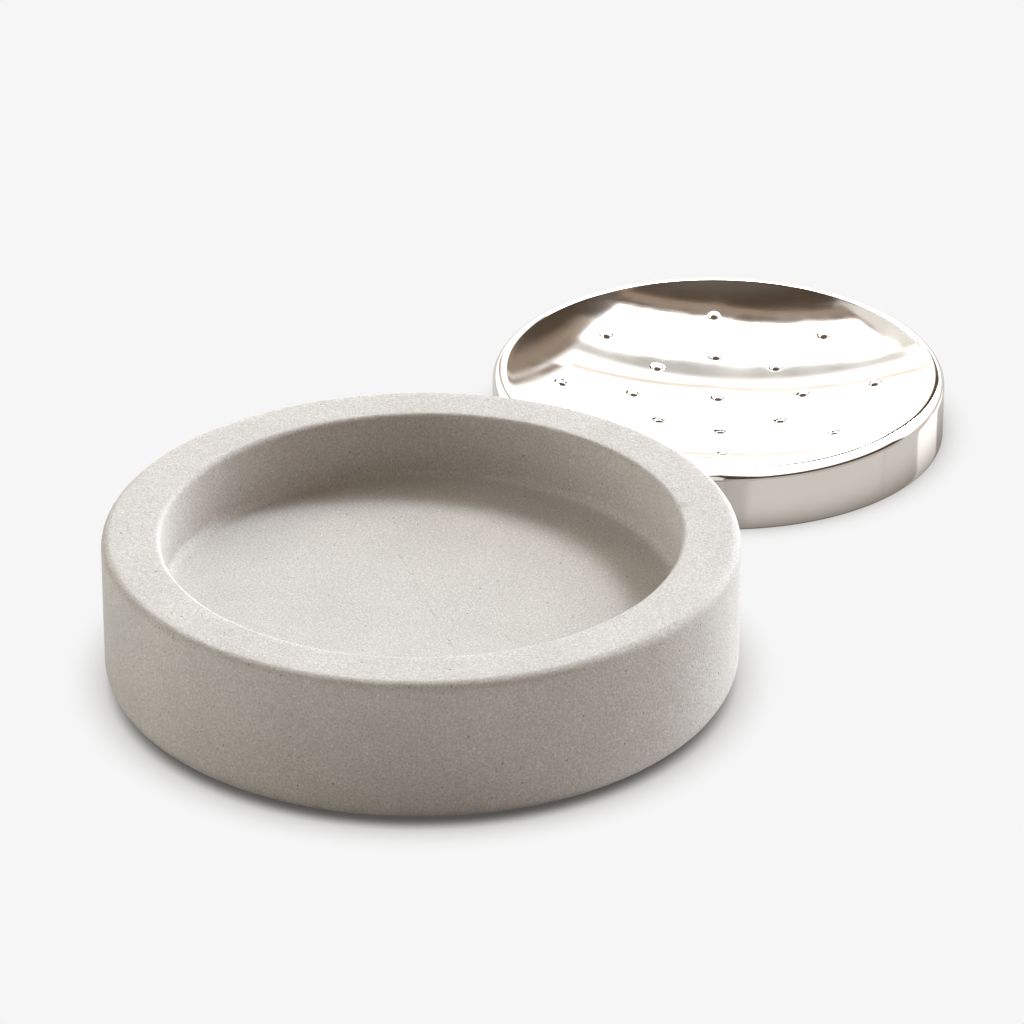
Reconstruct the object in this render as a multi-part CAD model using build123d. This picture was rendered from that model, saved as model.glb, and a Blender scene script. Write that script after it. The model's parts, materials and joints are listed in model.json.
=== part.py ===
from build123d import *

import math
import os

# Two-part soap dish: a round sandstone bowl on a non-slip pad, and a loose
# one-piece metal strainer that stands beside it and drops into its recess.
# All lengths are in millimetres. The origin is the centre of the pad's
# underside, +X points to the strainer's centre and +Z is up.

# Stone bowl
bowl_radius = 65.0
rim_height = 32.5
foot_edge_radius = 5.0
outer_rim_edge_radius = 2.0
inner_rim_edge_radius = 1.2

# Recess that takes the strainer, or a soap puck by itself
recess_radius = 53.0
recess_depth = 14.5
recess_corner_radius = 2.0

# Non-slip disc glued under the stone
pad_radius = 52.0
pad_thickness = 1.0
pad_edge_radius = 0.3

# Metal strainer, drawn from one sheet: skirt, rounded shoulder, concave dish
strainer_offset = 129.7
strainer_radius = 50.0
strainer_height = 14.0
shoulder_radius = 2.5
dish_depth = 7.0
sheet_thickness = 1.2

# Drain holes, countersunk from above
drain_hole_radius = 0.75
countersink_radius = 1.9
countersink_depth = 0.3
holes_per_ring = 8
hole_ring_radii = (18.7, 34.5)
hole_ring_turn = 29.5
drill_length = 7.0

recess_floor_height = rim_height - recess_depth
base_align = (Align.CENTER, Align.CENTER, Align.MIN)
top_align = (Align.CENTER, Align.CENTER, Align.MAX)

# How near an edge's radius and height must be to count as the one asked for
edge_tolerance = 0.01


def circular_edges_at(solid, radius, height):
    """Full-circle edges of one radius at one height."""
    found = []
    for edge in solid.edges().filter_by(GeomType.CIRCLE):
        edge_height = edge.center(CenterOf.BOUNDING_BOX).Z
        if abs(edge.radius - radius) < edge_tolerance and abs(edge_height - height) < edge_tolerance:
            found.append(edge)
    return found


def make_stone_bowl():
    """Solid turned stone with a round recess in its top and softened edges."""
    stone_height = rim_height - pad_thickness
    stone = Pos(0, 0, pad_thickness) * Cylinder(bowl_radius, stone_height, align=base_align)
    stone -= Pos(0, 0, recess_floor_height) * Cylinder(recess_radius, recess_depth, align=base_align)
    rounded_edges = (
        (bowl_radius, pad_thickness, foot_edge_radius),
        (bowl_radius, rim_height, outer_rim_edge_radius),
        (recess_radius, rim_height, inner_rim_edge_radius),
        (recess_radius, recess_floor_height, recess_corner_radius),
    )
    for edge_radius, edge_height, rounding in rounded_edges:
        stone = fillet(circular_edges_at(stone, edge_radius, edge_height), rounding)
    return stone


def make_base_pad():
    """Thin disc whose upper face is glued flat to the stone's underside."""
    pad = Cylinder(pad_radius, pad_thickness, align=base_align)
    return fillet(circular_edges_at(pad, pad_radius, 0), pad_edge_radius)


def make_strainer_shell():
    """Turned-down cup in one sheet thickness, revolved about its own axis.

    The shoulder arc and the spherical dish share a tangent, so the sphere's
    radius follows from the shoulder, the strainer's radius and the depth.
    """
    shoulder_x = strainer_radius - shoulder_radius
    shoulder_z = strainer_height - shoulder_radius
    dish_bottom_z = strainer_height - dish_depth
    rise = shoulder_z - dish_bottom_z
    sphere_radius = (shoulder_x**2 + rise**2 - shoulder_radius**2) / (2 * (rise + shoulder_radius))
    sphere_z = dish_bottom_z + sphere_radius
    # Angle of the shared tangent point, seen from the sphere's centre above
    tangent_angle = math.asin(shoulder_x / (sphere_radius + shoulder_radius))

    def dish_point(angle, radius):
        return (radius * math.sin(angle), sphere_z - radius * math.cos(angle))

    def shoulder_point(angle, radius):
        return (shoulder_x + radius * math.cos(angle), shoulder_z + radius * math.sin(angle))

    shoulder_end = math.pi / 2 + tangent_angle
    top_sphere = sphere_radius
    under_sphere = sphere_radius + sheet_thickness
    top_shoulder = shoulder_radius
    under_shoulder = shoulder_radius - sheet_thickness
    outside = Polyline((strainer_radius, 0), (strainer_radius, shoulder_z))
    shoulder_top = ThreePointArc(
        shoulder_point(0, top_shoulder),
        shoulder_point(shoulder_end / 2, top_shoulder),
        dish_point(tangent_angle, top_sphere),
    )
    dish_top = ThreePointArc(
        dish_point(tangent_angle, top_sphere),
        dish_point(tangent_angle / 2, top_sphere),
        dish_point(0, top_sphere),
    )
    axis_edge = Line(dish_point(0, top_sphere), dish_point(0, under_sphere))
    dish_under = ThreePointArc(
        dish_point(0, under_sphere),
        dish_point(tangent_angle / 2, under_sphere),
        dish_point(tangent_angle, under_sphere),
    )
    shoulder_under = ThreePointArc(
        dish_point(tangent_angle, under_sphere),
        shoulder_point(shoulder_end / 2, under_shoulder),
        shoulder_point(0, under_shoulder),
    )
    inner_radius = strainer_radius - sheet_thickness
    inside = Polyline((inner_radius, shoulder_z), (inner_radius, 0), (strainer_radius, 0))
    outline = Curve() + [outside, shoulder_top, dish_top, axis_edge, dish_under, shoulder_under, inside]
    section = Plane.XZ * make_face(outline.edges())
    shell = revolve(section, Axis.Z)
    return shell, sphere_radius, sphere_z


def drain_hole_cutter(ring_radius, angle_degrees, sphere_radius, sphere_z):
    """Drill and countersink for one hole, square to the dish surface."""
    lean = math.degrees(math.asin(ring_radius / sphere_radius))
    drill = Cylinder(drain_hole_radius, drill_length)
    sink = Cone(drain_hole_radius, countersink_radius, countersink_depth, align=top_align)
    relief = Cylinder(countersink_radius, sheet_thickness, align=base_align)
    at_surface = Pos(0, 0, -sphere_radius) * (drill + sink + relief)
    return Pos(0, 0, sphere_z) * Rot(0, 0, angle_degrees) * Rot(0, -lean, 0) * at_surface


def make_strainer():
    """Strainer shell with one centre hole and two rings of drain holes."""
    shell, sphere_radius, sphere_z = make_strainer_shell()
    cutters = [drain_hole_cutter(0, 0, sphere_radius, sphere_z)]
    for ring_radius in hole_ring_radii:
        for index in range(holes_per_ring):
            angle = hole_ring_turn + index * 360 / holes_per_ring
            cutters.append(drain_hole_cutter(ring_radius, angle, sphere_radius, sphere_z))
    for cutter in cutters:
        shell -= cutter
    return Pos(strainer_offset, 0, 0) * shell


nodes = {
    "stone_bowl": make_stone_bowl(),
    "base_pad": make_base_pad(),
    "strainer": make_strainer(),
}

os.makedirs("parts", exist_ok=True)
for node_name, shape in nodes.items():
    export_step(shape, f"parts/{node_name}.step")
    print(node_name, round(shape.volume), "mm3")
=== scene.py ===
import json
import math

import bpy
from mathutils import Matrix, Vector

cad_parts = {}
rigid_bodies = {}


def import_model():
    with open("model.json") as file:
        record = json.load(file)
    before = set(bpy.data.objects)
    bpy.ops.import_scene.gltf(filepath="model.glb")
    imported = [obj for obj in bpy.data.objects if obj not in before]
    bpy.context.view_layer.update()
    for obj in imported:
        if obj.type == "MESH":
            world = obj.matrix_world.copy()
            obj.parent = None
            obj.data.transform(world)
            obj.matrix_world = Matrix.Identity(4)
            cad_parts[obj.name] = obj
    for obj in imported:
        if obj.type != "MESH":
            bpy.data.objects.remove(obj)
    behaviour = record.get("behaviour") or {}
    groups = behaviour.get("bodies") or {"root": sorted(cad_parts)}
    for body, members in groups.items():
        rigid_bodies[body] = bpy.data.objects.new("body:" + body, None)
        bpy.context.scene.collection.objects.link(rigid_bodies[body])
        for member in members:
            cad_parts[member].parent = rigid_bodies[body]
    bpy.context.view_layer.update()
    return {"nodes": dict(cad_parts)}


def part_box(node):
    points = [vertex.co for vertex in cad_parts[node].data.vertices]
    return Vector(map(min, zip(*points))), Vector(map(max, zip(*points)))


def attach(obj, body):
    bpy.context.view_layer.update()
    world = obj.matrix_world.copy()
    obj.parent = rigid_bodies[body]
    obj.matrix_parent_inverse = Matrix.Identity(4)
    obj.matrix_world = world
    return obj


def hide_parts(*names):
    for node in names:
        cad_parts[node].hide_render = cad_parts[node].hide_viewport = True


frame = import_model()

mm = 0.001
bowlLow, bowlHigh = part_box("stone_bowl")
padLow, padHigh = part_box("base_pad")
strainerLow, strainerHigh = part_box("strainer")
bowlCentre = (bowlLow + bowlHigh) / 2
strainerCentre = (strainerLow + strainerHigh) / 2
print("frame loaded:", sorted(frame["nodes"]))


def deselectAll():
    if bpy.context.mode != "OBJECT":
        bpy.ops.object.mode_set(mode="OBJECT")
    for item in bpy.context.view_layer.objects:
        item.select_set(False)


def makeActive(piece):
    deselectAll()
    piece.select_set(True)
    bpy.context.view_layer.objects.active = piece


def applyPlace(piece):
    makeActive(piece)
    bpy.ops.object.transform_apply(location=True, rotation=True, scale=True)


def applyModifiers(piece):
    makeActive(piece)
    for modifier in list(piece.modifiers):
        bpy.ops.object.modifier_apply(modifier=modifier.name)


def triangleCount(piece):
    return sum(len(face.vertices) - 2 for face in piece.data.polygons)


def arcPoints(centre, radius, startAngle, endAngle, steps):
    # Points of an arc in the radius and height plane, both ends included
    return [
        (centre[0] + radius * math.cos(angle), centre[1] + radius * math.sin(angle))
        for angle in (startAngle + (endAngle - startAngle) * i / steps for i in range(steps + 1))]


def evenRun(start, end, spacing):
    # Points between two ends, both left out
    count = max(1, round(math.dist(start, end) / spacing))
    return [
        (start[0] + (end[0] - start[0]) * i / count, start[1] + (end[1] - start[1]) * i / count)
        for i in range(1, count)]


def joinRuns(runs, spacings):
    # Joins arcs into one outline, with evenly spaced points on each straight stretch between them
    outline = list(runs[0])
    for run, spacing in zip(runs[1:], spacings):
        outline += evenRun(outline[-1], run[0], spacing) + list(run)
    return outline


def spinOutline(name, outline, centre, steps, doublings=4):
    # Half the section is drawn as a chain of extruded points and spun through one sector,
    # and the sector is then doubled round the upright axis until it closes
    deselectAll()
    start = (centre.x + outline[0][0], centre.y, outline[0][1])
    bpy.ops.mesh.primitive_plane_add(size=mm, location=start)
    piece = bpy.context.object
    piece.name = name
    piece.data.name = name
    applyPlace(piece)
    bpy.ops.object.mode_set(mode="EDIT")
    bpy.ops.mesh.select_all(action="SELECT")
    bpy.ops.mesh.merge(type="CENTER")
    for (lastRadius, lastHeight), (radius, height) in zip(outline, outline[1:]):
        step = (radius - lastRadius, 0, height - lastHeight)
        bpy.ops.mesh.extrude_region_move(TRANSFORM_OT_translate={"value": step})
    axis = (centre.x, centre.y, 0)
    sector = math.tau / 2**doublings
    bpy.ops.mesh.select_all(action="SELECT")
    bpy.ops.mesh.spin(steps=steps // 2**doublings, angle=sector, center=axis, axis=(0, 0, 1))
    for doubling in range(doublings):
        bpy.ops.mesh.select_all(action="SELECT")
        bpy.ops.mesh.duplicate()
        bpy.ops.transform.rotate(value=sector * 2**doubling, orient_axis="Z", center_override=axis)
    bpy.ops.mesh.select_all(action="SELECT")
    bpy.ops.mesh.remove_doubles(threshold=0.002 * mm)
    bpy.ops.mesh.normals_make_consistent(inside=False)
    bpy.ops.object.mode_set(mode="OBJECT")
    return piece


stone = {
    "steps": 640,
    "wall": 12.0 * mm,
    "recessDepth": 14.5 * mm,
    "footRounding": 5.0 * mm,
    "outerRimRounding": 2.0 * mm,
    "innerRimRounding": 1.2 * mm,
    "cornerRounding": 2.0 * mm,
    "spacings": (5 * mm, 1.2 * mm, 1.4 * mm, 1.0 * mm, 1.6 * mm),
    "edgeWander": 0.22 * mm,
    "edgeWanderSize": 1.6 * mm,
    "faceWander": 0.06 * mm,
    "faceWanderSize": 8.0 * mm,
}


def addWander(piece, name, size, amount, group=""):
    texture = bpy.data.textures.new(name, "CLOUDS")
    texture.noise_scale = size
    texture.noise_depth = 3
    modifier = piece.modifiers.new(name, "DISPLACE")
    modifier.texture = texture
    modifier.texture_coords = "LOCAL"
    modifier.strength = amount
    modifier.mid_level = 0.5
    modifier.vertex_group = group


def makeStoneBowl():
    radius = (bowlHigh.x - bowlLow.x) / 2
    foot, rim = bowlLow.z, bowlHigh.z
    recess = radius - stone["wall"]
    floorTop = rim - stone["recessDepth"]
    footR, outerR = stone["footRounding"], stone["outerRimRounding"]
    innerR, cornerR = stone["innerRimRounding"], stone["cornerRounding"]
    quarter = math.pi / 2
    outline = joinRuns([
        [(0, foot)],
        arcPoints((radius - footR, foot + footR), footR, -quarter, 0, 12),
        arcPoints((radius - outerR, rim - outerR), outerR, 0, quarter, 10),
        arcPoints((recess + innerR, rim - innerR), innerR, quarter, 2 * quarter, 8),
        arcPoints((recess - cornerR, floorTop + cornerR), cornerR, 0, -quarter, 8),
        [(0, floorTop)],
    ], stone["spacings"])
    bowl = spinOutline("sandstoneBowl", outline, bowlCentre, stone["steps"])
    rimEdges = bowl.vertex_groups.new(name="rimEdges")
    for vertex in bowl.data.vertices:
        away = math.hypot(vertex.co.x, vertex.co.y)
        fromOuter = math.dist((away, vertex.co.z), (radius, rim))
        fromInner = math.dist((away, vertex.co.z), (recess, rim))
        near = max(0.0, 1 - min(fromOuter / (1.6 * outerR), fromInner / (2.0 * innerR)))
        if near > 0:
            rimEdges.add([vertex.index], near, "REPLACE")
    addWander(bowl, "edgeWander", stone["edgeWanderSize"], stone["edgeWander"], "rimEdges")
    addWander(bowl, "faceWander", stone["faceWanderSize"], stone["faceWander"])
    applyModifiers(bowl)
    bpy.ops.object.shade_smooth()
    return bowl


bowl = makeStoneBowl()
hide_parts("stone_bowl")
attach(bowl, "bowl")
print("stone bowl:", triangleCount(bowl), "triangles")


strainer = {
    "steps": 400,
    "shoulder": 2.5 * mm,
    "dishDepth": 7.0 * mm,
    "sheet": 1.2 * mm,
    "footRounding": 0.4 * mm,
    "spacings": (1.1 * mm,) * 5,
    "dishSteps": 44,
    "shoulderSteps": 44,
    "insideSteps": 14,
    "footSteps": 6,
    "drillSteps": 48,
    "holeRadius": 0.75 * mm,
    "sinkRadius": 1.9 * mm,
    "sinkDepth": 0.3 * mm,
    "sinkCurve": 1.7,
    "lip": 0.2 * mm,
    "cutterReach": 3 * mm,
    "holesPerRing": 8,
    "ringRadii": (18.7 * mm, 34.5 * mm),
    "ringTurn": 29.5,
}


def dishSphere():
    # The dish is part of a sphere that meets the shoulder's arc without a crease
    radius = (strainerHigh.x - strainerLow.x) / 2
    across = radius - strainer["shoulder"]
    shoulderHeight = strainerHigh.z - strainer["shoulder"]
    bottom = strainerHigh.z - strainer["dishDepth"]
    rise = shoulderHeight - bottom
    sphere = (across**2 + rise**2 - strainer["shoulder"]**2) / (2 * (rise + strainer["shoulder"]))
    return sphere, bottom + sphere, across, shoulderHeight


def makeStrainerShell(name):
    sphere, sphereHeight, across, shoulderHeight = dishSphere()
    radius = (strainerHigh.x - strainerLow.x) / 2
    lean = math.asin(across / (sphere + strainer["shoulder"]))
    foot, footR = strainerLow.z, strainer["footRounding"]
    sheet, shoulder = strainer["sheet"], strainer["shoulder"]
    down, quarter = -math.pi / 2, math.pi / 2
    dishSteps, footSteps = strainer["dishSteps"], strainer["footSteps"]
    outline = joinRuns([
        arcPoints((0, sphereHeight), sphere, down, down + lean, dishSteps)[:-1],
        arcPoints((across, shoulderHeight), shoulder, quarter + lean, 0, strainer["shoulderSteps"]),
        arcPoints((radius - footR, foot + footR), footR, 0, down, footSteps),
        arcPoints((radius - sheet + footR, foot + footR), footR, down, 2 * down, footSteps),
        arcPoints(
            (across, shoulderHeight), shoulder - sheet, 0, quarter + lean, strainer["insideSteps"]),
        arcPoints((0, sphereHeight), sphere + sheet, down + lean, down, dishSteps)[1:],
    ], strainer["spacings"])
    return spinOutline(name, outline, strainerCentre, strainer["steps"])


def makeHoleCutter():
    # One drill with a pressed dimple and a rolled lip, standing at the bottom of the dish
    hole, sink, depth = strainer["holeRadius"], strainer["sinkRadius"], strainer["sinkDepth"]
    lip, reach = strainer["lip"], strainer["cutterReach"]
    sphere, sphereHeight, across, shoulderHeight = dishSphere()
    surface = sphereHeight - sphere
    dimple = []
    for i in range(1, 13):
        radius = hole + lip + (sink - hole - lip) * i / 12
        share = (sink - radius) / (sink - hole - lip)
        dip = depth * share ** strainer["sinkCurve"]
        dimple.append((radius, surface + radius**2 / (2 * sphere) - dip))
    outline = [
        (0, surface - reach),
        (hole, surface - reach),
        *arcPoints((hole + lip, surface - depth - 0.9 * lip), lip, math.pi, math.radians(122), 5),
        *dimple,
        (sink + lip, dimple[-1][1] + 0.1 * lip),
        (sink + lip, surface + reach),
        (0, surface + reach)]
    return spinOutline("holeCutter", outline, strainerCentre, strainer["drillSteps"])


def holePlaces():
    # Turn about the upright axis and lean from it, for each hole, seen from the sphere's centre
    sphere = dishSphere()[0]
    places = [(0.0, 0.0)]
    for ringRadius in strainer["ringRadii"]:
        for index in range(strainer["holesPerRing"]):
            turn = math.radians(strainer["ringTurn"]) + index * math.tau / strainer["holesPerRing"]
            places.append((turn, math.asin(ringRadius / sphere)))
    return places


def cutDrainHoles(shell, pivot):
    cutters = []
    for turn, lean in holePlaces():
        cutter = makeHoleCutter()
        swing = Matrix.Rotation(turn, 4, "Z") @ Matrix.Rotation(-lean, 4, "Y")
        cutter.matrix_world = Matrix.Translation(pivot) @ swing @ Matrix.Translation(-pivot)
        applyPlace(cutter)
        cutters.append(cutter)
    deselectAll()
    for cutter in cutters:
        cutter.select_set(True)
    bpy.context.view_layer.objects.active = cutters[0]
    bpy.ops.object.join()
    boolean = shell.modifiers.new("drainHoles", "BOOLEAN")
    boolean.operation = "DIFFERENCE"
    boolean.solver = "EXACT"
    boolean.object = cutters[0]
    applyModifiers(shell)
    bpy.data.objects.remove(cutters[0])


def markUnpierced(shell, pivot):
    # Everything outside the dimples, so that the polish there follows the whole sheet
    smooth = shell.vertex_groups.new(name="unpierced")
    reach = 0.995 * strainer["sinkRadius"]
    axes = [
        Vector((math.sin(lean) * math.cos(turn), math.sin(lean) * math.sin(turn), -math.cos(lean)))
        for turn, lean in holePlaces()]
    for vertex in shell.data.vertices:
        spoke = vertex.co - pivot
        if min(spoke.cross(axis).length for axis in axes) > reach:
            smooth.add([vertex.index], 1.0, "REPLACE")
    return smooth.name


def makeStrainer():
    pivot = Vector((strainerCentre.x, strainerCentre.y, dishSphere()[1]))
    shell = makeStrainerShell("nickelStrainer")
    plain = makeStrainerShell("plainSheet")
    makeActive(plain)
    bpy.ops.object.shade_smooth()
    cutDrainHoles(shell, pivot)
    makeActive(shell)
    bpy.ops.object.shade_smooth_by_angle(angle=math.radians(30))
    transfer = shell.modifiers.new("evenPolish", "DATA_TRANSFER")
    transfer.object = plain
    transfer.use_loop_data = True
    transfer.data_types_loops = {"CUSTOM_NORMAL"}
    transfer.loop_mapping = "POLYINTERP_NEAREST"
    transfer.vertex_group = markUnpierced(shell, pivot)
    applyModifiers(shell)
    bpy.data.objects.remove(plain)
    return shell


shell = makeStrainer()
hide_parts("strainer")
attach(shell, "strainer")
print("strainer:", triangleCount(shell), "triangles")


def addNode(tree, kind, values=None, settings=None):
    node = tree.nodes.new(kind)
    for key, value in (settings or {}).items():
        setattr(node, key, value)
    for key, value in (values or {}).items():
        node.inputs[key].default_value = value
    return node


def calculate(tree, operation, first, second=None, third=None, clamp=False):
    node = addNode(tree, "ShaderNodeMath", settings={"operation": operation, "use_clamp": clamp})
    for index, value in enumerate((first, second, third)):
        if value is None:
            continue
        if isinstance(value, (int, float)):
            node.inputs[index].default_value = value
        else:
            tree.links.new(value, node.inputs[index])
    return node.outputs[0]


def remap(tree, value, fromLow, fromHigh, toLow=0.0, toHigh=1.0, smooth=True):
    kind = "SMOOTHSTEP" if smooth else "LINEAR"
    node = addNode(tree, "ShaderNodeMapRange", settings={"interpolation_type": kind})
    tree.links.new(value, node.inputs["Value"])
    numbers = (fromLow, fromHigh, toLow, toHigh)
    for key, number in zip(("From Min", "From Max", "To Min", "To Max"), numbers):
        node.inputs[key].default_value = number
    return node.outputs[0]


def mixColour(tree, share, first, second, blend="MIX"):
    node = addNode(tree, "ShaderNodeMix", settings={"data_type": "RGBA", "blend_type": blend})
    for index, value in ((0, share), (6, first), (7, second)):
        if isinstance(value, (int, float)):
            node.inputs[index].default_value = value
        elif isinstance(value, tuple):
            node.inputs[index].default_value = (*value, 1.0)
        else:
            tree.links.new(value, node.inputs[index])
    return node.outputs[2]


def newGroup(name, inputs, outputs):
    group = bpy.data.node_groups.new(name, "ShaderNodeTree")
    for socketName, kind, value in inputs:
        socket = group.interface.new_socket(name=socketName, in_out="INPUT", socket_type=kind)
        if value is not None:
            socket.default_value = value
    for socketName, kind in outputs:
        group.interface.new_socket(name=socketName, in_out="OUTPUT", socket_type=kind)
    return group, group.nodes.new("NodeGroupInput"), group.nodes.new("NodeGroupOutput")


def placeGroup(tree, group, values=None):
    node = addNode(tree, "ShaderNodeGroup", settings={"node_tree": group})
    for key, value in (values or {}).items():
        if isinstance(value, (int, float)):
            node.inputs[key].default_value = value
        else:
            tree.links.new(value, node.inputs[key])
    return node


def newFinish(name):
    material = bpy.data.materials.new(name)
    material.use_nodes = True
    tree = material.node_tree
    tree.nodes.clear()
    shader = tree.nodes.new("ShaderNodeBsdfPrincipled")
    output = tree.nodes.new("ShaderNodeOutputMaterial")
    tree.links.new(shader.outputs[0], output.inputs["Surface"])
    coords = tree.nodes.new("ShaderNodeTexCoord").outputs["Object"]
    return material, tree, shader, coords


def dress(piece, material):
    piece.data.materials.clear()
    piece.data.materials.append(material)


def makeGrainGroup():
    # Even mottling from three sizes of noise, as a value round one half
    group, inlet, outlet = newGroup(
        "layeredGrain",
        [("Vector", "NodeSocketVector", None), ("Grain Size", "NodeSocketFloat", 0.0004)],
        [("Fine", "NodeSocketFloat"), ("Middle", "NodeSocketFloat"), ("Broad", "NodeSocketFloat")])
    perMetre = calculate(group, "DIVIDE", 1.0, inlet.outputs["Grain Size"])
    for outputName, share, detail in (("Fine", 1.0, 3.0), ("Middle", 0.17, 4.0), ("Broad", 0.022, 3.0)):
        noise = addNode(group, "ShaderNodeTexNoise", {"Detail": detail, "Roughness": 0.62})
        group.links.new(inlet.outputs["Vector"], noise.inputs["Vector"])
        group.links.new(calculate(group, "MULTIPLY", perMetre, share), noise.inputs["Scale"])
        group.links.new(noise.outputs["Fac"], outlet.inputs[outputName])
    return group


def makeEdgeWearAndShadeGroup():
    # Raised corners of the mesh, broken up by noise so that the mark comes and goes: wear on the nickel,
    # and on the stone a darker edge that is partly wear and partly painted shade
    group, inlet, outlet = newGroup(
        "edgeWearAndShade",
        [("Vector", "NodeSocketVector", None), ("Start", "NodeSocketFloat", 0.51),
         ("Full", "NodeSocketFloat", 0.58), ("Patch Scale", "NodeSocketFloat", 300.0)],
        [("Mask", "NodeSocketFloat")])
    pointiness = group.nodes.new("ShaderNodeNewGeometry").outputs["Pointiness"]
    edge = addNode(group, "ShaderNodeMapRange")
    group.links.new(pointiness, edge.inputs["Value"])
    group.links.new(inlet.outputs["Start"], edge.inputs["From Min"])
    group.links.new(inlet.outputs["Full"], edge.inputs["From Max"])
    noise = addNode(group, "ShaderNodeTexNoise", {"Detail": 4.0})
    group.links.new(inlet.outputs["Vector"], noise.inputs["Vector"])
    group.links.new(inlet.outputs["Patch Scale"], noise.inputs["Scale"])
    patches = remap(group, noise.outputs["Fac"], 0.35, 0.62)
    group.links.new(calculate(group, "MULTIPLY", edge.outputs[0], patches), outlet.inputs["Mask"])
    return group


def makeSpeckGroup():
    # Small round specks, each with its own size, where Amount sets how many show
    group, inlet, outlet = newGroup(
        "specks",
        [("Vector", "NodeSocketVector", None), ("Spacing", "NodeSocketFloat", 0.001),
         ("Amount", "NodeSocketFloat", 0.3), ("Radius", "NodeSocketFloat", 0.3)],
        [("Mask", "NodeSocketFloat")])
    cells = addNode(group, "ShaderNodeTexVoronoi", {"Randomness": 1.0}, {"feature": "F1"})
    group.links.new(inlet.outputs["Vector"], cells.inputs["Vector"])
    group.links.new(calculate(group, "DIVIDE", 1.0, inlet.outputs["Spacing"]), cells.inputs["Scale"])
    split = group.nodes.new("ShaderNodeSeparateColor")
    group.links.new(cells.outputs["Color"], split.inputs[0])
    chosen = calculate(group, "LESS_THAN", split.outputs[0], inlet.outputs["Amount"])
    spread = calculate(group, "ADD", split.outputs[1], 0.4)
    size = calculate(group, "MULTIPLY", inlet.outputs["Radius"], spread)
    near = calculate(group, "DIVIDE", cells.outputs["Distance"], size)
    spot = remap(group, near, 1.0, 0.55)
    group.links.new(calculate(group, "MULTIPLY", spot, chosen), outlet.inputs["Mask"])
    return group


layeredGrain = makeGrainGroup()
edgeWearAndShade = makeEdgeWearAndShadeGroup()
specks = makeSpeckGroup()


sandstoneLook = {
    "dark": (0.400, 0.378, 0.354),
    "light": (0.612, 0.595, 0.571),
    "warmPatch": (0.500, 0.468, 0.432),
    "pit": (0.22, 0.195, 0.17),
    "fleck": (0.74, 0.725, 0.70),
    # Darker edge colour: partly worn stone, partly painted shade that dims the bright line along the rim
    # edges
    "wornAndShadedEdge": (0.37, 0.345, 0.32),
    "grainSize": 0.42 * mm,
    "warmShare": 0.28,
    "broadShade": (0.97, 1.03),
    "pits": {"Spacing": 1.5 * mm, "Amount": 0.16, "Radius": 0.16},
    "pitShare": 0.7,
    "pitDepth": 1.2,
    "flecks": {"Spacing": 0.75 * mm, "Amount": 0.28, "Radius": 0.3},
    "fleckShare": 0.5,
    "wornAndShadedPatches": 420.0,
    "wornAndShadedShare": 0.6,
    "roughness": (0.82, 0.96),
    "gloss": 0.25,
    "middleHeight": 0.8,
    "bump": 0.10 * mm,
    "bumpStrength": 0.9,
}


def makeSandstone():
    look = sandstoneLook
    material, tree, shader, coords = newFinish("sandstone")
    grain = placeGroup(tree, layeredGrain, {"Vector": coords, "Grain Size": look["grainSize"]})
    pits = placeGroup(tree, specks, {"Vector": coords, **look["pits"]})
    flecks = placeGroup(tree, specks, {"Vector": coords, **look["flecks"]})
    wearAndShade = placeGroup(tree, edgeWearAndShade, {"Vector": coords, "Patch Scale": look["wornAndShadedPatches"]})
    tone = remap(tree, grain.outputs["Fine"], 0.33, 0.67, smooth=False)
    colour = mixColour(tree, tone, look["dark"], look["light"])
    patch = remap(tree, grain.outputs["Middle"], 0.42, 0.7, 0.0, look["warmShare"])
    colour = mixColour(tree, patch, colour, look["warmPatch"])
    shade = remap(tree, grain.outputs["Broad"], 0.3, 0.7, *look["broadShade"])
    bright = addNode(tree, "ShaderNodeVectorMath", settings={"operation": "SCALE"})
    tree.links.new(colour, bright.inputs[0])
    tree.links.new(shade, bright.inputs["Scale"])
    colour = bright.outputs[0]
    # Lighter flecks, dark pits, and the darker edge colour, which is partly wear and partly painted shade
    for mask, share, added in (
            (flecks.outputs["Mask"], look["fleckShare"], look["fleck"]),
            (pits.outputs["Mask"], look["pitShare"], look["pit"]),
            (wearAndShade.outputs["Mask"], look["wornAndShadedShare"], look["wornAndShadedEdge"])):
        colour = mixColour(tree, calculate(tree, "MULTIPLY", mask, share), colour, added)
    tree.links.new(colour, shader.inputs["Base Color"])
    rough = remap(tree, grain.outputs["Fine"], 0.3, 0.7, *look["roughness"])
    tree.links.new(rough, shader.inputs["Roughness"])
    shader.inputs["Specular IOR Level"].default_value = look["gloss"]
    lumps = calculate(tree, "MULTIPLY", grain.outputs["Middle"], look["middleHeight"])
    hollows = calculate(tree, "MULTIPLY", pits.outputs["Mask"], look["pitDepth"])
    height = calculate(tree, "SUBTRACT", calculate(tree, "ADD", grain.outputs["Fine"], lumps), hollows)
    bump = addNode(tree, "ShaderNodeBump", {"Distance": look["bump"], "Strength": look["bumpStrength"]})
    tree.links.new(height, bump.inputs["Height"])
    tree.links.new(bump.outputs[0], shader.inputs["Normal"])
    return material


nickelLook = {
    "plate": (0.67, 0.64, 0.60),
    "warmer": (0.65, 0.61, 0.56),
    "roughness": (0.04, 0.09),
    "hazeScale": 60.0,
    "warmShare": 0.5,
    "wearAndShade": {"Start": 0.53, "Full": 0.62, "Patch Scale": 500.0},
    "wornRoughness": 0.12,
    "ripple": 0.008 * mm,
    "rippleSize": 14 * mm,
}


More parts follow.
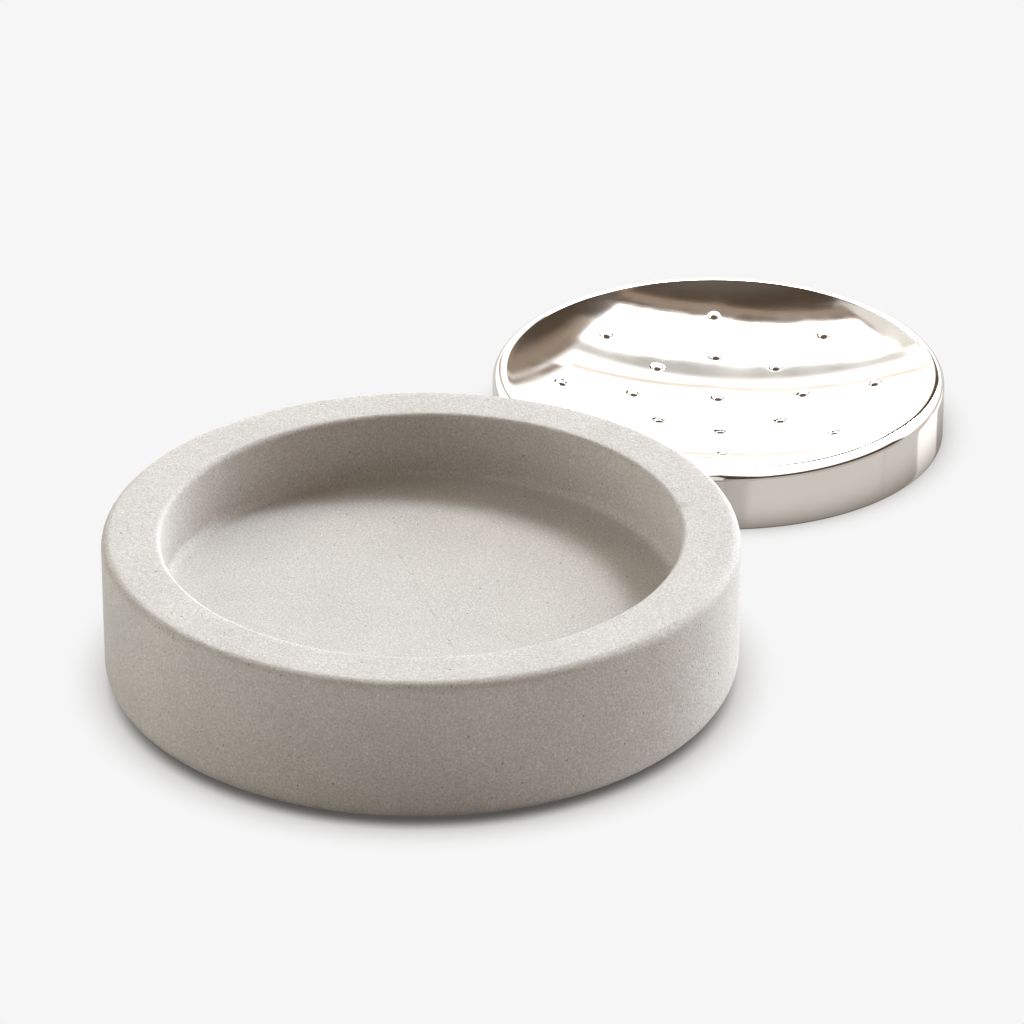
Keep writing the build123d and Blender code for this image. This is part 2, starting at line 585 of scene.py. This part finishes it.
def makeNickel():
    look = nickelLook
    material, tree, shader, coords = newFinish("polishedNickel")
    haze = addNode(
        tree, "ShaderNodeTexNoise", {"Scale": look["hazeScale"], "Detail": 4.0, "Roughness": 0.55})
    tree.links.new(coords, haze.inputs["Vector"])
    smear = remap(tree, haze.outputs["Fac"], 0.35, 0.7, 0.0, look["warmShare"])
    wearAndShade = placeGroup(tree, edgeWearAndShade, {"Vector": coords, **look["wearAndShade"]})
    tree.links.new(mixColour(tree, smear, look["plate"], look["warmer"]), shader.inputs["Base Color"])
    shader.inputs["Metallic"].default_value = 1.0
    rough = remap(tree, haze.outputs["Fac"], 0.3, 0.75, *look["roughness"])
    rubbed = calculate(tree, "MULTIPLY", wearAndShade.outputs["Mask"], look["wornRoughness"])
    tree.links.new(calculate(tree, "ADD", rough, rubbed), shader.inputs["Roughness"])
    ripple = addNode(
        tree, "ShaderNodeTexNoise", {"Scale": 1 / look["rippleSize"], "Detail": 1.0, "Roughness": 0.3})
    tree.links.new(coords, ripple.inputs["Vector"])
    bump = addNode(tree, "ShaderNodeBump", {"Distance": look["ripple"], "Strength": 1.0})
    tree.links.new(ripple.outputs["Fac"], bump.inputs["Height"])
    tree.links.new(bump.outputs[0], shader.inputs["Normal"])
    return material


padLook = {
    "rubber": (0.028, 0.027, 0.026),
    "dust": (0.10, 0.095, 0.09),
    "dustShare": 0.35,
    "grainSize": 0.5 * mm,
    "roughness": (0.55, 0.75),
    "bump": 0.05 * mm,
    "bumpStrength": 0.6,
}


def makePadRubber():
    look = padLook
    material, tree, shader, coords = newFinish("padRubber")
    grain = placeGroup(tree, layeredGrain, {"Vector": coords, "Grain Size": look["grainSize"]})
    dust = remap(tree, grain.outputs["Broad"], 0.4, 0.7, 0.0, look["dustShare"])
    tree.links.new(mixColour(tree, dust, look["rubber"], look["dust"]), shader.inputs["Base Color"])
    rough = remap(tree, grain.outputs["Middle"], 0.3, 0.7, *look["roughness"])
    tree.links.new(rough, shader.inputs["Roughness"])
    bump = addNode(tree, "ShaderNodeBump", {"Distance": look["bump"], "Strength": look["bumpStrength"]})
    tree.links.new(grain.outputs["Fine"], bump.inputs["Height"])
    tree.links.new(bump.outputs[0], shader.inputs["Normal"])
    return material


dress(bowl, makeSandstone())
dress(shell, makeNickel())
frame["nodes"]["base_pad"].material_slots[0].material = makePadRubber()
print("finishes made")


camera = {
    "turn": 29.65,
    "drop": 27.30,
    "distance": 1297.2 * mm,
    "aim": (70.9 * mm, 19.1 * mm),
    "lens": 210.9,
    "sensor": 36.0,
}
# The contact values set the painted shadow on the table round the pieces; the inMetal values set the
# table's painted glow and painted shade seen in the metal
table = {
    "size": 60.0,
    "shift": 6.0,
    "tone": 0.9225,
    "bounce": 0.66,
    "sheen": 0.085,
    "sheenRoughness": 0.06,
    "inMetal": (0.69, 0.675, 0.655),
    "inMetalReach": 25 * mm,
    "inMetalLean": 45.0,
    "inMetalOpen": (0.42, 0.85),
    "inMetalShade": (0.19, 0.155, 0.12),
    "contactLean": 65.0,
    "contactTurn": 32.0,
    "contactReach": 20 * mm,
    "contactTint": (0.97, 0.93, 0.87),
    "contactDark": 0.1,
    "contactClear": 0.8,
    "contactFloor": 0.1,
}
keyLight = {"turn": 40.0, "height": 40.0, "width": 13.0, "strength": 1.95, "colour": (0.945, 0.972, 1.0)}

# Panels of the room: left and right edge, low and high edge in degrees, softness, slope, and brightness.
# Turns are measured to the right from straight away from the camera.
roomForFill = {
    "everywhere": (0.105, 0.065, 0.03),
    "panels": (
        (-60, -17, -5, 50, 3, 0, (0.12, 0.12, 0.16)),
        (-120, -60, -5, 50, 3, 0, (2.45, 2.40, 2.20)),
        (60, 120, -5, 50, 3, 0, (1.35, 1.10, 0.95)),
        (18, 63, -5, 50, 3, 0, (7.20, 8.10, 8.85)),
        (-15, 18, 36, 50, 2, 0, (4.40, 3.50, 2.50)),
    ),
}
roomInMetal = {
    "everywhere": (0.110, 0.078, 0.054),
    "panels": (
        (-400, 400, 55.8, 100, 3, 0, (0.185, 0.155, 0.128)),
        (-400, 400, 62.1, 100, 3, 0, (2.6, 2.65, 2.7)),
        (95, 180, 18, 70, 3, 0, (2.2, 2.2, 2.2)),
        (-180, -70, 18, 70, 3, 0, (2.2, 2.2, 2.2)),
        (-70, -21.6, -90, 70, 4, 0, (1.8, 1.85, 1.9)),
        (34, 95, -90, 70, 3, 0, (2.1, 2.1, 2.1)),
        (34, 63, 8, 52, 1, 0, (11.0, 11.0, 11.0)),
        (-60, 60, -90, 13.5, 3, 0, (2.0, 2.0, 2.0)),
        (-24.3, -17.6, 8.1, 51.3, 1.5, 0, (0.68, 0.60, 0.54)),
        (-18, -13.8, 8.1, 49.5, 1.2, 0, (1.10, 1.08, 1.05)),
        (-14.6, -13.8, 22.5, 33.3, 0.3, 0, (0.80, 0.52, 0.33)),
        (-14.5, -13.7, 32.4, 48.6, 0.3, 0, (0.30, 0.21, 0.15)),
        (15.8, 18.4, 15.3, 44.1, 0.8, 0, (0.42, 0.33, 0.25)),
        (15.8, 16.5, 15.3, 44.1, 0.4, 0, (0.26, 0.17, 0.11)),
        (-15.3, 15.8, 7.2, 35.1, 0.4, 0.16, (2.0, 2.0, 2.0)),
        (-13.7, 15.8, 32.2, 37.5, 0.9, 0.16, (0.78, 0.775, 0.77)),
        (-13.7, 15.8, 37.3, 48.3, 0.5, 0.30, (14.0, 14.2, 14.5)),
        (-14.4, 17.1, 50.4, 52.2, 0.6, 0.30, (0.46, 0.34, 0.25)),
        (-14.4, 16.2, 48.3, 48.9, 0.4, 0.30, (0.80, 0.52, 0.32)),
        (14.6, 15.5, 13.5, 28.8, 0.3, 0, (0.30, 0.20, 0.145)),
        (-14.4, 14.4, 28.5, 29.5, 0.35, 0.30, (1.18, 1.02, 0.90)),
    ),
    "spread": 0.005,
    "spreadFrom": 43.2,
}


def makeCamera():
    turn, drop = math.radians(camera["turn"]), math.radians(camera["drop"])
    forward = Vector((math.cos(turn) * math.cos(drop), math.sin(turn) * math.cos(drop), -math.sin(drop)))
    data = bpy.data.cameras.new("studioCamera")
    data.lens = camera["lens"]
    data.sensor_width = camera["sensor"]
    data.clip_start, data.clip_end = 0.01, 100.0
    item = bpy.data.objects.new("studioCamera", data)
    bpy.context.scene.collection.objects.link(item)
    item.location = Vector((*camera["aim"], 0)) - forward * camera["distance"]
    item.rotation_mode = "QUATERNION"
    item.rotation_quaternion = forward.to_track_quat("-Z", "Y")
    bpy.context.scene.camera = item


def awayDirection(turnRight, height):
    # A direction as seen from the camera: away from it, turned to the right and raised, in degrees
    turn = math.radians(camera["turn"] - turnRight)
    raised = math.radians(height)
    level = math.cos(raised)
    return Vector((math.cos(turn) * level, math.sin(turn) * level, math.sin(raised)))


def makeTable():
    deselectAll()
    bpy.ops.mesh.primitive_plane_add(size=table["size"], location=(table["shift"], 0, 0))
    top = bpy.context.object
    top.name = "tableTop"
    material = bpy.data.materials.new("paleTable")
    material.use_nodes = True
    tree = material.node_tree
    tree.nodes.clear()
    output = tree.nodes.new("ShaderNodeOutputMaterial")
    path = tree.nodes.new("ShaderNodeLightPath")
    # A painted contact shadow where a piece stands, leaning towards the light
    lean = awayDirection(table["contactTurn"], 90 - table["contactLean"])
    occlusion = addNode(
        tree, "ShaderNodeAmbientOcclusion",
        {"Distance": table["contactReach"], "Normal": lean}, {"samples": 24})
    shade = remap(
        tree, occlusion.outputs["AO"], table["contactDark"], table["contactClear"], table["contactFloor"])
    seen = tree.nodes.new("ShaderNodeEmission")
    tree.links.new(mixColour(tree, shade, table["contactTint"], (1.0, 1.0, 1.0)), seen.inputs["Color"])
    tree.links.new(calculate(tree, "MULTIPLY", shade, table["tone"]), seen.inputs["Strength"])
    # In the metal the same table shows as a painted glow, darker by painted shade near the pieces, with
    # the room's sheen on it dimmed by the same painted shade
    tilt = awayDirection(table["contactTurn"], 90 - table["inMetalLean"])
    nearby = addNode(
        tree, "ShaderNodeAmbientOcclusion",
        {"Distance": table["inMetalReach"], "Normal": tilt}, {"samples": 16})
    deep = remap(tree, nearby.outputs["AO"], *table["inMetalOpen"], smooth=False)
    glow = addNode(tree, "ShaderNodeEmission", {"Strength": 1.0})
    tree.links.new(mixColour(tree, deep, table["inMetalShade"], table["inMetal"]), glow.inputs["Color"])
    sheen = addNode(tree, "ShaderNodeBsdfGlossy", {"Roughness": table["sheenRoughness"]})
    tree.links.new(mixColour(tree, deep, (0.0, 0.0, 0.0), (table["sheen"],) * 3), sheen.inputs["Color"])
    inMetal = tree.nodes.new("ShaderNodeAddShader")
    tree.links.new(glow.outputs[0], inMetal.inputs[0])
    tree.links.new(sheen.outputs[0], inMetal.inputs[1])
    bounce = addNode(tree, "ShaderNodeBsdfDiffuse", {"Color": (*(3 * (table["bounce"],)), 1)})
    forGlossy = tree.nodes.new("ShaderNodeMixShader")
    tree.links.new(path.outputs["Is Glossy Ray"], forGlossy.inputs[0])
    tree.links.new(bounce.outputs[0], forGlossy.inputs[1])
    tree.links.new(inMetal.outputs[0], forGlossy.inputs[2])
    forCamera = tree.nodes.new("ShaderNodeMixShader")
    tree.links.new(path.outputs["Is Camera Ray"], forCamera.inputs[0])
    tree.links.new(forGlossy.outputs[0], forCamera.inputs[1])
    tree.links.new(seen.outputs[0], forCamera.inputs[2])
    tree.links.new(forCamera.outputs[0], output.inputs["Surface"])
    dress(top, material)


def roomColour(tree, room, right, raised):
    colour = room["everywhere"]
    for left, rightEnd, low, high, soft, slope, brightness in room["panels"]:
        height = raised
        if slope:
            bend = calculate(tree, "MINIMUM", right, 3.0) if slope > 0.2 else right
            height = calculate(tree, "SUBTRACT", raised, calculate(tree, "MULTIPLY", bend, slope))
        share = 1.0
        edges = (
            (right, left - soft, left + soft), (right, rightEnd + soft, rightEnd - soft),
            (height, low - soft, low + soft), (height, high + soft, high - soft))
        for value, below, above in edges:
            share = calculate(tree, "MULTIPLY", remap(tree, value, below, above), share)
        colour = mixColour(tree, share, colour, brightness)
    return colour


def makeSurroundings():
    world = bpy.data.worlds.new("studioRoom")
    world.use_nodes = True
    bpy.context.scene.world = world
    tree = world.node_tree
    tree.nodes.clear()
    coords = tree.nodes.new("ShaderNodeTexCoord").outputs["Generated"]
    angle = math.radians(90 - camera["turn"])
    turned = addNode(tree, "ShaderNodeVectorRotate", {"Angle": angle}, {"rotation_type": "Z_AXIS"})
    tree.links.new(coords, turned.inputs["Vector"])
    split = tree.nodes.new("ShaderNodeSeparateXYZ")
    tree.links.new(turned.outputs[0], split.inputs[0])
    degrees = math.degrees(1)
    turn = calculate(tree, "ARCTAN2", split.outputs[0], split.outputs[1])
    right = calculate(tree, "MULTIPLY", turn, degrees)
    raised = calculate(tree, "MULTIPLY", calculate(tree, "ARCSINE", split.outputs[2]), degrees)
    # In the metal the panels' sides lean together towards the horizon
    below = calculate(tree, "SUBTRACT", roomInMetal["spreadFrom"], raised)
    below = calculate(tree, "MAXIMUM", below, 0.0)
    widening = calculate(tree, "MULTIPLY_ADD", below, roomInMetal["spread"], 1.0)
    leaning = calculate(tree, "MULTIPLY", right, widening)
    path = tree.nodes.new("ShaderNodeLightPath")
    fill = roomColour(tree, roomForFill, right, raised)
    inMetal = roomColour(tree, roomInMetal, leaning, raised)
    room = mixColour(tree, path.outputs["Is Glossy Ray"], fill, inMetal)
    plain = (table["tone"],) * 3
    background = tree.nodes.new("ShaderNodeBackground")
    seen = mixColour(tree, path.outputs["Is Camera Ray"], room, plain)
    tree.links.new(seen, background.inputs["Color"])
    output = tree.nodes.new("ShaderNodeOutputWorld")
    tree.links.new(background.outputs[0], output.inputs["Surface"])


def makeKeyLight():
    data = bpy.data.lights.new("keyLight", "SUN")
    data.energy = keyLight["strength"]
    data.color = keyLight["colour"]
    data.angle = math.radians(keyLight["width"])
    item = bpy.data.objects.new("keyLight", data)
    bpy.context.scene.collection.objects.link(item)
    item.rotation_mode = "QUATERNION"
    towardsLight = awayDirection(keyLight["turn"], keyLight["height"])
    item.rotation_quaternion = (-towardsLight).to_track_quat("-Z", "Y")


makeCamera()
makeTable()
makeSurroundings()
makeKeyLight()
bpy.context.scene.view_settings.view_transform = "Standard"
print("studio made")
